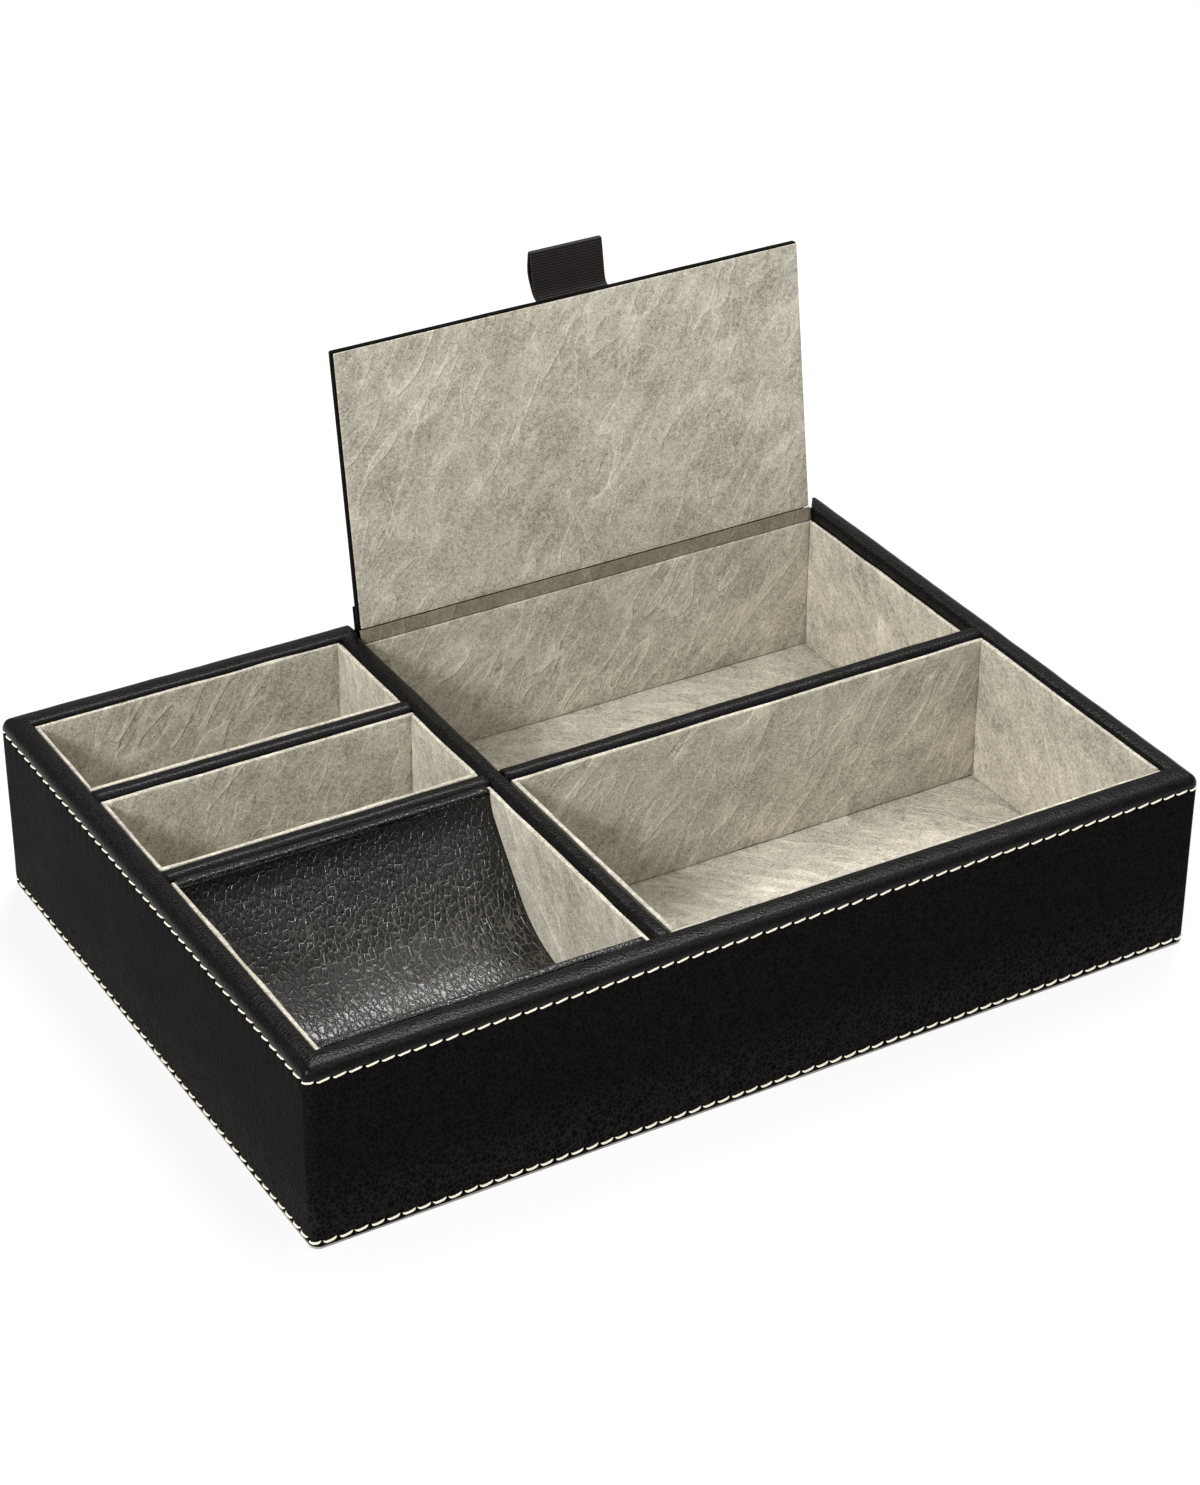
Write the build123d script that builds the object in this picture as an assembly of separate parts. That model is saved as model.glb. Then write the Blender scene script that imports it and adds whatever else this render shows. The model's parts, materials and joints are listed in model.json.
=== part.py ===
from build123d import *
import math
import os

# Valet tray: a shallow box of boards wrapped in black leather, split by three kinds of
# divider into five lined compartments. One compartment has a hinged lid with a ribbon tab,
# another holds a curved leather coin scoop. Millimetres, +X along the long front,
# +Y to the rear, +Z up, origin at the centre of the underside.

# Whole tray
tray_length = 254.0
tray_width = 179.6
tray_height = 51.3
corner_radius = 2.5

# Boards, card and leather
underside_thickness = 0.6
underside_inset = 0.2
base_board_thickness = 5.2
end_board_thickness = 4.7
side_board_thickness = 5.8
divider_board_thickness = 4.2
leather_thickness = 0.9
rim_fold_depth = 12.0
cap_fold_depth = 10.0
rim_outer_roll = 1.6
rim_inner_roll = 1.0
cap_roll = 1.2

# Compartments, measured between leather faces
left_column_width = 88.8
front_row_depth = 79.6
middle_row_depth = 36.2

# Suede covered lining cards
lining_thickness = 1.4
lining_drop = 0.8
lining_edge_roll = 0.45
ledge_drop = 3.3

# Step in the rear wall that the lid passes over
notch_ear_thickness = 1.2

# Sewing thread on the outside
thread_height = 0.65
thread_sink = 0.35
top_thread_drop = 3.5
bottom_thread_rise = 1.9

# Coin scoop: a bent card in leather that curves up to a lip at the front and at the rear
scoop_card_thickness = 1.4
scoop_clearance = 0.1
scoop_bottom_radius = 29.0
scoop_shoulder_radius = 12.0
scoop_flank_angle = 50.0

# Lid, given closed, and turned open about its hinge line at the end
lid_length = 79.2
lid_side_clearance = 0.5
lid_rest_clearance = 0.3
lid_leather_thickness = 0.7
lid_lining_thickness = 0.8
lid_lining_inset = 0.4
lid_edge_roll = 0.6
lid_lining_roll = 0.3
lid_open_angle = 98.0

# Hinge line, behind the lid's rear edge and below the rim
hinge_wall_setback = 5.8
hinge_rim_drop = 0.7
hinge_edge_gap = 0.95

# Leather hinge: a foot on the step of the rear wall and a flap up the lid's outer face
hinge_leather_thickness = 0.7
hinge_gap = 0.3
hinge_flap_length = 6.0
hinge_foot_end_inset = 1.0
hinge_bend_radius = 1.1

# Suede band inside, from the rear lining up to the lid
hinge_band_thickness = 0.5
hinge_band_inset = 0.3

# Ribbon pull tab
ribbon_width = 22.2
ribbon_thickness = 0.4
ribbon_offset = 1.2
tab_rise = 13.1
tab_tail_length = 8.0
tab_tail_height = 1.8
tab_ramp_back = 0.2
tab_ramp_length = 1.2
tab_front_height = 3.4
tab_front_drift = 0.3
tab_bulge = 2.5
tab_fold_reach = 0.8

# One overrun for every cut that runs past a face, and how near an edge lies to where it is sought
cut_overrun = 2.0
edge_tolerance = 0.01

# Shares of the tab's free length and bulge where its back layer is widest
tab_bulge_place_share = 0.55
tab_fold_width_share = 0.6

# Planes worked out from the sizes above
x_end = tray_length / 2
y_side = tray_width / 2
end_wall = end_board_thickness + 2 * leather_thickness
side_wall = side_board_thickness + 2 * leather_thickness
divider = divider_board_thickness + 2 * leather_thickness

x_left = -x_end + end_wall
x_right = x_end - end_wall
y_front = -y_side + side_wall
y_rear = y_side - side_wall

x_centre_left = x_left + left_column_width
x_centre_right = x_centre_left + divider
y_cross_front = y_front + front_row_depth
y_cross_rear = y_cross_front + divider
y_note_front = y_cross_rear + middle_row_depth
y_note_rear = y_note_front + divider

z_base = underside_thickness
z_floor = z_base + base_board_thickness
z_board = tray_height - leather_thickness
z_lining = tray_height - lining_drop
z_ledge = tray_height - ledge_drop

hinge_y = y_side - hinge_wall_setback
hinge_z = tray_height - hinge_rim_drop
lid_rear = hinge_y - hinge_edge_gap
lid_front = lid_rear - lid_length
lid_left = x_centre_right + lid_side_clearance
lid_right = x_right - lid_side_clearance
lid_under = z_ledge + lid_rest_clearance
lid_top = tray_height
lid_seam = lid_under + lid_lining_thickness

open_sine = math.sin(math.radians(lid_open_angle))
open_cosine = math.cos(math.radians(lid_open_angle))


def block(x_low, x_high, y_low, y_high, z_low, z_high):
    """A box between three pairs of planes."""
    corner = (Align.MIN, Align.MIN, Align.MIN)
    sizes = (x_high - x_low, y_high - y_low, z_high - z_low)
    return Pos(x_low, y_low, z_low) * Box(*sizes, align=corner)


def rounded_block(inset, z_low, z_high):
    """The tray's outline, drawn in by an inset, between two heights."""
    outline = RectangleRounded(tray_length - 2 * inset, tray_width - 2 * inset, corner_radius - inset)
    return extrude(Pos(0, 0, z_low) * outline, amount=z_high - z_low)


def ring(inset_outer, inset_inner, z_low, z_high):
    """A band round the tray, between two insets from its outline."""
    return rounded_block(inset_outer, z_low, z_high) - rounded_block(inset_inner, z_low, z_high)


def plan_prism(points, z_low, z_high):
    """A straight prism over a plan of (x, y) points."""
    return extrude(Pos(0, 0, z_low) * make_face(Polyline(*points, close=True)), amount=z_high - z_low)


def along_x(face, x_low, x_high):
    """A profile drawn in (y, z), run from one x plane to another."""
    return extrude(Plane.YZ.offset(x_low) * face, amount=x_high - x_low)


def edges_level(shape, height):
    """Edges whose middle lies at one height along Z."""
    return shape.edges().filter_by_position(Axis.Z, height - edge_tolerance, height + edge_tolerance)


def edges_at(shape, axis, height, low_corner, high_corner):
    """Edges at one height along Z that run along an axis inside a plan box."""
    found = edges_level(shape, height).filter_by(axis)
    for across, low, high in ((Axis.X, low_corner[0], high_corner[0]), (Axis.Y, low_corner[1], high_corner[1])):
        found = found.filter_by_position(across, low - edge_tolerance, high + edge_tolerance)
    return found


def opened(shape):
    """A closed lid piece turned back to its open rest place."""
    hinge_line = Axis((0, hinge_y, hinge_z), (1, 0, 0))
    return shape.rotate(hinge_line, -lid_open_angle)


def opened_point(y, z):
    """Where a point of the closed lid lies once the lid is open."""
    y_arm = y - hinge_y
    z_arm = z - hinge_z
    return (hinge_y + y_arm * open_cosine + z_arm * open_sine, hinge_z - y_arm * open_sine + z_arm * open_cosine)


# The step in the rear wall, in plan, grown for the boards by the leather that lines it
def notch_prism(grow, z_low):
    x_ear = x_end - notch_ear_thickness
    points = [
        (x_centre_right - grow, y_rear - cut_overrun),
        (x_right + grow, y_rear - cut_overrun),
        (x_right + grow, y_rear),
        (x_ear + grow, y_side),
        (x_ear + grow, y_side + cut_overrun),
        (x_centre_right - grow, y_side + cut_overrun),
    ]
    return plan_prism(points, z_low, tray_height + cut_overrun)


# Underside and base
def make_underside_sheet():
    return rounded_block(underside_inset, 0, z_base)


def make_base_board():
    x_inner = x_end - leather_thickness - end_board_thickness
    y_inner = y_side - leather_thickness - side_board_thickness
    return block(-x_inner, x_inner, -y_inner, y_inner, z_base, z_floor)


# Four wall boards: front and rear run the whole length, the ends stand between them
def make_wall_boards():
    wrapped = rounded_block(leather_thickness, z_base, z_board)
    x_outer = x_end - leather_thickness
    y_outer = y_side - leather_thickness
    x_inner = x_outer - end_board_thickness
    y_inner = y_outer - side_board_thickness
    step = notch_prism(leather_thickness, z_ledge - leather_thickness)
    front = block(-x_outer, x_outer, -y_outer, -y_inner, z_base, z_board) & wrapped
    rear = (block(-x_outer, x_outer, y_inner, y_outer, z_base, z_board) & wrapped) - step
    left = block(-x_outer, -x_inner, -y_inner, y_inner, z_base, z_board)
    right = block(x_inner, x_outer, -y_inner, y_inner, z_base, z_board) - step
    return {
        "front_wall_board": front,
        "rear_wall_board": rear,
        "left_wall_board": left,
        "right_wall_board": right,
    }


# Outer leather: up the outside, over the rims and a little way down the inside
def make_outer_cover():
    skin = rounded_block(0, z_base, tray_height)
    skin -= rounded_block(leather_thickness, z_base, z_board)
    skin -= block(x_left, x_right, y_front, y_rear, z_board, tray_height)
    z_fold = tray_height - rim_fold_depth
    x_inner = x_right + leather_thickness
    y_inner = y_rear + leather_thickness
    fold = block(-x_inner, x_inner, -y_inner, y_inner, z_fold, z_board)
    fold -= block(x_left, x_right, y_front, y_rear, z_fold, z_board)
    cover = skin + fold

    top_edges = edges_level(cover, tray_height)
    inner_low = (x_left, y_front)
    inner_high = (x_right, y_rear)
    inner_edges = ShapeList()
    for axis in (Axis.X, Axis.Y):
        inner_edges += edges_at(cover, axis, tray_height, inner_low, inner_high)
    outer_edges = ShapeList(edge for edge in top_edges if edge not in inner_edges)
    cover = fillet(outer_edges, rim_outer_roll)
    inner_edges = ShapeList()
    for axis in (Axis.X, Axis.Y):
        inner_edges += edges_at(cover, axis, tray_height, inner_low, inner_high)
    cover = fillet(inner_edges, rim_inner_roll)

    # Leather over the step for the lid
    step_lining = notch_prism(leather_thickness, z_ledge - leather_thickness) & rounded_block(0, z_base, z_board)
    step_lining &= block(x_left, x_end, y_rear, y_side, z_base, z_board)
    cover += step_lining
    cover -= notch_prism(0, z_ledge)

    # Grooves that the sewing thread lies in
    for groove in (top_thread_runs(), bottom_thread_run()):
        cover -= groove
    return cover


# Sewing thread: one line below the rims, stepped down behind the lid, and one by the base
def top_thread_runs():
    z_middle = tray_height - top_thread_drop
    around = ring(0, thread_sink, z_middle - thread_height / 2, z_middle + thread_height / 2)
    x_step = x_end - corner_radius
    around -= block(x_centre_right, x_step, y_rear, y_side, z_ledge - top_thread_drop, tray_height)
    z_low = z_ledge - top_thread_drop
    behind_lid = block(
        x_centre_right, x_step, y_side - thread_sink, y_side, z_low - thread_height / 2, z_low + thread_height / 2
    )
    return around + behind_lid


def bottom_thread_run():
    z_middle = bottom_thread_rise
    return ring(0, thread_sink, z_middle - thread_height / 2, z_middle + thread_height / 2)


# Dividers: a board with a leather cap folded over its top edge
def make_divider(x_low, x_high, y_low, y_high, runs_along_y):
    z_fold = tray_height - cap_fold_depth
    if runs_along_y:
        board = block(x_low + leather_thickness, x_high - leather_thickness, y_low, y_high, z_floor, z_board)
        hollow = block(x_low + leather_thickness, x_high - leather_thickness, y_low, y_high, z_fold, z_board)
        length_axis = Axis.Y
    else:
        board = block(x_low, x_high, y_low + leather_thickness, y_high - leather_thickness, z_floor, z_board)
        hollow = block(x_low, x_high, y_low + leather_thickness, y_high - leather_thickness, z_fold, z_board)
        length_axis = Axis.X
    cap = block(x_low, x_high, y_low, y_high, z_fold, tray_height)
    long_edges = edges_at(cap, length_axis, tray_height, (x_low, y_low), (x_high, y_high))
    cap = fillet(long_edges, cap_roll) - hollow
    return board, cap


def make_dividers():
    places = {
        "centre_divider": (x_centre_left, x_centre_right, y_front, y_rear, True),
        "watch_divider": (x_centre_right, x_right, y_cross_front, y_cross_rear, False),
        "coin_divider": (x_left, x_centre_left, y_cross_front, y_cross_rear, False),
        "note_divider": (x_left, x_centre_left, y_note_front, y_note_rear, False),
    }
    nodes = {}
    for name, place in places.items():
        board, cap = make_divider(*place)
        nodes[name + "_board"] = board
        nodes[name + "_cap"] = cap
    return nodes


# Suede lining cards: a floor, a front and a rear card across, and an end card at each side
def card(x_low, x_high, y_low, y_high, z_high, z_low):
    """An upright lining card with its top edges softened."""
    shape = block(x_low, x_high, y_low, y_high, z_low, z_high)
    length_axis = Axis.X if x_high - x_low > y_high - y_low else Axis.Y
    long_edges = edges_at(shape, length_axis, z_high, (x_low, y_low), (x_high, y_high))
    return fillet(long_edges, lining_edge_roll)


def make_linings(name, x_low, x_high, y_low, y_high, z_high):
    z_card = z_floor + lining_thickness
    y_mid_low = y_low + lining_thickness
    y_mid_high = y_high - lining_thickness
    return {
        name + "_floor_lining": block(x_low, x_high, y_low, y_high, z_floor, z_card),
        name + "_front_lining": card(x_low, x_high, y_low, y_mid_low, z_high, z_card),
        name + "_rear_lining": card(x_low, x_high, y_mid_high, y_high, z_high, z_card),
        name + "_left_lining": card(x_low, x_low + lining_thickness, y_mid_low, y_mid_high, z_high, z_card),
        name + "_right_lining": card(x_high - lining_thickness, x_high, y_mid_low, y_mid_high, z_high, z_card),
    }


def make_coin_linings():
    left_inner = x_left + lining_thickness
    right_inner = x_centre_left - lining_thickness
    return {
        "coin_left_lining": card(x_left, left_inner, y_front, y_cross_front, z_lining, z_floor),
        "coin_right_lining": card(right_inner, x_centre_left, y_front, y_cross_front, z_lining, z_floor),
    }


# Coin scoop: arcs and straight flanks, offset outwards for each layer
def scoop_half(outward, side):
    """Points of half the trough's curve, from the bottom to the lip, in (y, z)."""
    sine = math.sin(math.radians(scoop_flank_angle))
    cosine = math.cos(math.radians(scoop_flank_angle))
    y_middle = (y_front + y_cross_front) / 2
    half_width = front_row_depth / 2 - leather_thickness - scoop_card_thickness - scoop_clearance
    shoulder = scoop_shoulder_radius
    bottom = scoop_bottom_radius
    flank = (half_width - bottom * sine - shoulder * (1 - sine)) / cosine
    depth = shoulder * cosine + flank * sine + bottom * (1 - cosine)
    z_bottom_centre = z_lining - depth + bottom
    half_sine = math.sin(math.radians(scoop_flank_angle / 2))
    half_cosine = math.cos(math.radians(scoop_flank_angle / 2))
    late_sine = math.sin(math.radians((scoop_flank_angle + 90) / 2))
    late_cosine = math.cos(math.radians((scoop_flank_angle + 90) / 2))
    bottom += outward
    shoulder += outward
    y_shoulder = half_width - scoop_shoulder_radius
    offsets = [
        (0, z_bottom_centre - bottom),
        (bottom * half_sine, z_bottom_centre - bottom * half_cosine),
        (bottom * sine, z_bottom_centre - bottom * cosine),
        (y_shoulder + shoulder * sine, z_lining - shoulder * cosine),
        (y_shoulder + shoulder * late_sine, z_lining - shoulder * late_cosine),
        (y_shoulder + shoulder, z_lining),
    ]
    return [(y_middle + side * y, z) for y, z in offsets]


def scoop_curve(outward):
    """The trough's curve from the front lip to the rear lip."""
    edges = []
    for side in (-1, 1):
        low, low_mid, flank_low, flank_high, high_mid, high = scoop_half(outward, side)
        edges.append(ThreePointArc(low, low_mid, flank_low))
        edges.append(Line(flank_low, flank_high))
        edges.append(ThreePointArc(flank_high, high_mid, high))
    return edges


def make_scoop_layer(inner, outer):
    lips = [Line(scoop_half(inner, side)[-1], scoop_half(outer, side)[-1]) for side in (-1, 1)]
    profile = make_face(Wire(scoop_curve(inner) + scoop_curve(outer) + lips))
    x_low = x_left + lining_thickness + scoop_clearance
    x_high = x_centre_left - lining_thickness - scoop_clearance
    return along_x(profile, x_low, x_high)


def make_scoop():
    card_outer = leather_thickness + scoop_card_thickness
    return {
        "coin_scoop_leather": make_scoop_layer(0, leather_thickness),
        "coin_scoop_card": make_scoop_layer(leather_thickness, card_outer),
    }


# Lid: a board in thin leather, a suede card inside it and a ribbon tab at its free edge
def tab_points():
    """The tab's corners in (y, z) of the closed lid, named by place."""
    front_low = lid_under + tab_front_height
    reach = tab_rise - ribbon_thickness
    bulge_place = lid_front - tab_rise * tab_bulge_place_share
    fold_height = tab_bulge * tab_fold_width_share
    return {
        "tail": (lid_front + tab_tail_length, lid_under + tab_tail_height),
        "ramp_foot": (lid_front + tab_ramp_back, lid_under + tab_tail_height),
        "ramp_head": (lid_front - tab_ramp_length, front_low),
        "fold_low": (lid_front - tab_rise + tab_fold_reach, front_low + tab_front_drift),
        "fold_mid": (lid_front - tab_rise, front_low + tab_front_drift + fold_height / 2),
        "fold_high": (lid_front - tab_rise + tab_fold_reach, front_low + tab_front_drift + fold_height),
        "bulge": (bulge_place, front_low + tab_front_drift + tab_bulge),
        "fold_inside": (lid_front - reach, front_low + tab_front_drift + fold_height / 2),
    }


def make_pull_tab():
    point = tab_points()
    layers = 2 * ribbon_thickness
    tail_high = (point["tail"][0], point["tail"][1] + layers)
    foot_high = (point["ramp_foot"][0], point["ramp_foot"][1] + layers)
    head_high = (point["ramp_head"][0] + ribbon_thickness, point["ramp_head"][1] + layers)
    outside = [
        Line(point["tail"], point["ramp_foot"]),
        Line(point["ramp_foot"], point["ramp_head"]),
        Line(point["ramp_head"], point["fold_low"]),
        ThreePointArc(point["fold_low"], point["fold_mid"], point["fold_high"]),
        ThreePointArc(point["fold_high"], point["bulge"], head_high),
        Line(head_high, foot_high),
        Line(foot_high, tail_high),
        Line(tail_high, point["tail"]),
    ]
    void_root = (point["ramp_head"][0] - ribbon_thickness, point["ramp_head"][1] + ribbon_thickness)
    void_low = (point["fold_low"][0], point["fold_low"][1] + ribbon_thickness)
    void_high = (point["fold_high"][0], point["fold_high"][1] - ribbon_thickness)
    void_bulge = (point["bulge"][0], point["bulge"][1] - ribbon_thickness)
    inside = [
        Line(void_root, void_low),
        ThreePointArc(void_low, point["fold_inside"], void_high),
        ThreePointArc(void_high, void_bulge, void_root),
    ]
    profile = make_face(Wire(outside)) - make_face(Wire(inside))
    x_middle = (lid_left + lid_right) / 2 + ribbon_offset
    return along_x(profile, x_middle - ribbon_width / 2, x_middle + ribbon_width / 2)


def make_lid():
    leather = lid_leather_thickness
    inset = lid_lining_inset
    pull_tab = make_pull_tab()
    outer = block(lid_left, lid_right, lid_front, lid_rear, lid_seam, lid_top)
    low = (lid_left, lid_front)
    high = (lid_right, lid_rear)
    top_edges = edges_at(outer, Axis.X, lid_top, low, high) + edges_at(outer, Axis.Y, lid_top, low, high)
    outer = fillet(top_edges, lid_edge_roll)
    board = block(
        lid_left + leather, lid_right - leather, lid_front + leather, lid_rear - leather, lid_seam, lid_top - leather
    )
    lining = block(lid_left + inset, lid_right - inset, lid_front + inset, lid_rear - inset, lid_under, lid_seam)
    face_edges = edges_level(lining, lid_under)
    lining = fillet(face_edges, lid_lining_roll)
    return {
        "lid_cover": opened(outer - board - pull_tab),
        "lid_board": opened(board - pull_tab),
        "lid_lining": opened(lining),
        "pull_tab": opened(pull_tab),
    }


# Hinge: leather outside and a suede band inside, both drawn for the open lid
def make_hinge_leather():
    half = hinge_leather_thickness / 2
    heel = opened_point(lid_rear, lid_top + hinge_gap + half)
    head = opened_point(lid_rear - hinge_flap_length, lid_top + hinge_gap + half)
    foot_z = z_ledge + half
    slope = (head[0] - heel[0]) / (head[1] - heel[1])
    bend = (heel[0] + slope * (foot_z - heel[1]), foot_z)
    foot_end = (y_side - hinge_foot_end_inset, foot_z)
    centreline = FilletPolyline(foot_end, bend, head, radius=hinge_bend_radius)
    profile = trace(centreline, line_width=hinge_leather_thickness)
    return along_x(profile, lid_left, lid_right)


def make_hinge_band():
    lid_corner = opened_point(lid_rear, lid_under + hinge_band_inset)
    lid_corner_back = opened_point(lid_rear, lid_under + hinge_band_inset + hinge_band_thickness)
    drop = hinge_gap
    foot = y_rear - lining_thickness + hinge_band_inset
    points = [
        (foot, z_ledge),
        (foot + hinge_band_thickness, z_ledge),
        (lid_corner_back[0], lid_corner_back[1] - drop),
        (lid_corner[0], lid_corner[1] - drop),
    ]
    profile = make_face(Polyline(*points, close=True))
    return along_x(profile, lid_left, lid_right)


# Every sub-part, by node name
nodes = {
    "underside_sheet": make_underside_sheet(),
    "base_board": make_base_board(),
    "outer_cover": make_outer_cover(),
    "top_thread": top_thread_runs(),
    "bottom_thread": bottom_thread_run(),
    "hinge_leather": make_hinge_leather(),
    "hinge_band": make_hinge_band(),
}
nodes.update(make_wall_boards())
nodes.update(make_dividers())
nodes.update(make_coin_linings())
nodes.update(make_linings("cufflink", x_left, x_centre_left, y_cross_rear, y_note_front, z_lining))
nodes.update(make_linings("note", x_left, x_centre_left, y_note_rear, y_rear, z_lining))
nodes.update(make_linings("wallet", x_centre_right, x_right, y_front, y_cross_front, z_lining))
nodes.update(make_linings("watch", x_centre_right, x_right, y_cross_rear, y_rear, z_ledge))
nodes.update(make_scoop())
nodes.update(make_lid())

os.makedirs("parts", exist_ok=True)
for name, shape in nodes.items():
    export_step(shape, os.path.join("parts", name + ".step"))
print(len(nodes), "nodes written")
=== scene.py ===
"""Valet tray: leather, suede, sewing thread and ribbon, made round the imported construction.

Sizes are in millimetres until a mesh is made, in the frame of the part: +X along the long
front, +Y to the rear, +Z up, origin at the centre of the underside.
"""

import json
import math

import bpy
import numpy as np
from mathutils import Matrix, Vector


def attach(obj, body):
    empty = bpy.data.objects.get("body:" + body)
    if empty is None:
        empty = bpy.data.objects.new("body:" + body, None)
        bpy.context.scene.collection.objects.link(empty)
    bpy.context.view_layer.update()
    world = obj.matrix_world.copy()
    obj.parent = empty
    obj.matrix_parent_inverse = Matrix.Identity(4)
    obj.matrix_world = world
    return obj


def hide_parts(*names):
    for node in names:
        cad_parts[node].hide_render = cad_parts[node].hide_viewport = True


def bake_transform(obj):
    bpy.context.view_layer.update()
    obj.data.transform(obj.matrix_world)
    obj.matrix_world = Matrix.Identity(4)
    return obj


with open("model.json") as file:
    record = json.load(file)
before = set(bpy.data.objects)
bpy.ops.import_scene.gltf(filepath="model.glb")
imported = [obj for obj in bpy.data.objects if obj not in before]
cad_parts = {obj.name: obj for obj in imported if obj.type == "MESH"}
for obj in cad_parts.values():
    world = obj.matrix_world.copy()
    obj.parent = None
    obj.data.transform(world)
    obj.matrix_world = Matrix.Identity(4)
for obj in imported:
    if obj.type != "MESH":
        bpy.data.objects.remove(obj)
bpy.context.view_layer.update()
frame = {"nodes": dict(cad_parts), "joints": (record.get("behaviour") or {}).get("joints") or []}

MM = 0.001


# Boxes of the construction, in millimetres
class Box:
    def __init__(self, points):
        self.low = points.min(axis=0)
        self.high = points.max(axis=0)


def node_points(name):
    """The vertices of a node of the construction, in millimetres."""
    vertices = frame["nodes"][name].data.vertices
    points = np.zeros(len(vertices) * 3, np.float32)
    vertices.foreach_get("co", points)
    return points.reshape(-1, 3).astype(float) / MM


def node_box(name):
    return Box(node_points(name))


joint = frame["joints"][0]
hinge_place = np.array(joint["pos_m"]) / MM
lid_turn = math.radians(max(joint["range_deg"], key=abs))


def turned(points, angle):
    """Points turned about the hinge line, along X, by an angle."""
    arm = points - hinge_place
    sine, cosine = math.sin(angle), math.cos(angle)
    y = arm[..., 1] * cosine - arm[..., 2] * sine
    z = arm[..., 1] * sine + arm[..., 2] * cosine
    return np.stack([arm[..., 0], y, z], axis=-1) + hinge_place


def closed_box(name):
    """The box of a lid piece as it lies when the lid is closed."""
    return Box(turned(node_points(name), lid_turn))


cover_box = node_box("outer_cover")
centre_box = node_box("centre_divider_cap")
watch_box = node_box("watch_divider_cap")
coin_box = node_box("coin_divider_cap")
scoop_box = node_box("coin_scoop_leather")
lid_cover_box = closed_box("lid_cover")
lid_lining_box = closed_box("lid_lining")
tab_box = closed_box("pull_tab")

x_left, x_right = coin_box.low[0], watch_box.high[0]
y_front, y_rear = centre_box.low[1], centre_box.high[1]
x_step = watch_box.low[0]
x_end, y_side = cover_box.high[0], cover_box.high[1]
z_under, z_rim = cover_box.low[2], cover_box.high[2]
z_ledge = node_box("watch_rear_lining").high[2]
scoop_middle = (y_front + coin_box.low[1]) / 2

# Leather over the boards. Waves are given as a height and a size.
corner_radius = 2.5
leather_thickness = 0.9
rim_outer_roll = 2.9
rim_inner_roll = 1.2
rim_fold_start = 3.0
rim_fold_depth = 12.0
rim_crown = 0.15
under_roll = 0.25
step_ear = 1.2
step_roll = 0.6
step_gap = 0.02
hide_waves = [(0.07, 17.0)]
rim_waves = [(0.025, 4.5)]

# Points across the leather, close together near the seams, and along each stitch
bottom_seam_rises = (-0.55, -0.28, 0.0, 0.28, 0.55, 0.95, 1.6)
wall_shares = (0.1, 0.22, 0.35, 0.48, 0.61, 0.74, 0.87)
top_seam_rises = (-1.6, -0.95, -0.5, -0.25, 0.0, 0.25, 0.45)
rim_shares = (0.14, 0.28, 0.38, 0.46, 0.54, 0.66, 0.82)
stitch_shares = np.array([0.0, 0.05, 0.1, 0.25, 0.5, 0.75, 0.9, 0.95])

# Sewing
stitch_pitch = 4.13
top_thread_drop = 3.5
bottom_thread_rise = 1.9
top_thread_radius = 0.26
bottom_thread_radius = 0.3
thread_flatness = 0.85
thread_plies = 3
thread_lobe_share = 0.16
thread_turns = 2.6
stitch_gap = 0.45
stitch_break_share = 0.3
stitch_slant = 0.55
stitch_rise = 0.02
stitch_dive = 0.7
stitch_taper = 0.5
bottom_droop = 0.34
droop_level = 0.4
shift_spread = 0.05
lift_spread = 0.03
slant_spread = 0.15
seam_depth = 0.2
seam_width = 0.55
hole_depth = 0.6
hole_width = 0.26
hole_length = 0.75
hole_lean = 0.35
pucker_height = 0.07
pucker_swing = 1.3
pucker_sink = 0.4
pucker_place = 1.15
pucker_width = 0.6

# Divider caps
cap_roll = 2.2
cap_fold_start = 5.0
cap_fold_depth = 10.0
cap_crown = 0.3
crown_level = 0.6
cap_reach = 0.6
cap_thinning = 0.85
cap_step = 1.5
cap_end_room = 1.2
cap_end_places = np.array([0, 0.25, 0.7])
cap_end_shrink = 0.3
cap_end_width = 0.4
cap_waves = [(0.06, 9.0), (0.03, 3.2)]

# Suede cards
card_roll = 0.45
card_step = 3.0
card_inset = 0.09
card_waves = [(0.09, 11.0)]

# Coin scoop
scoop_card_thickness = 1.4
scoop_bottom_radius = 29.0
scoop_shoulder_radius = 12.0
scoop_flank_angle = 50.0
scoop_thinning = 0.95
scoop_step = 1.2
scoop_columns = 60
scoop_waves = [(0.08, 15.0)]
lip_leather = 0.4
lip_roll = 0.55
lip_gap = 0.02
lip_upright = 1.4
lip_depth = 0.6

# Lid
lid_leather = 0.55
lid_edge_roll = 0.6
lid_fold = 9.0
lid_step = 1.6
lid_waves = [(0.08, 14.0), (0.03, 4.0)]
lid_lining_roll = 0.3
lid_lining_step = 1.3
lid_lining_waves = [(0.05, 9.0)]
lid_border_width = 2.6
lid_border_drop = 0.22

# Ribbon tab
ribbon_width = 22.2
ribbon_thickness = 0.4
ribbon_thinning = 0.8
tab_rise = 13.1
tab_tail_length = 8.0
tab_tail_height = 1.8
tab_ramp_back = 0.2
tab_ramp_length = 1.2
tab_ramp_foot = 1.5
tab_front_height = 3.4
tab_front_drift = 0.3
tab_bulge = 2.5
rib_pitch = 0.78
rib_steps = 6
rib_height = 0.13
selvedge_places = np.array([0, 0.12, 0.35])
selvedge_end = 0.8
selvedge_depth = 0.13
selvedge_width = 0.18

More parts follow.
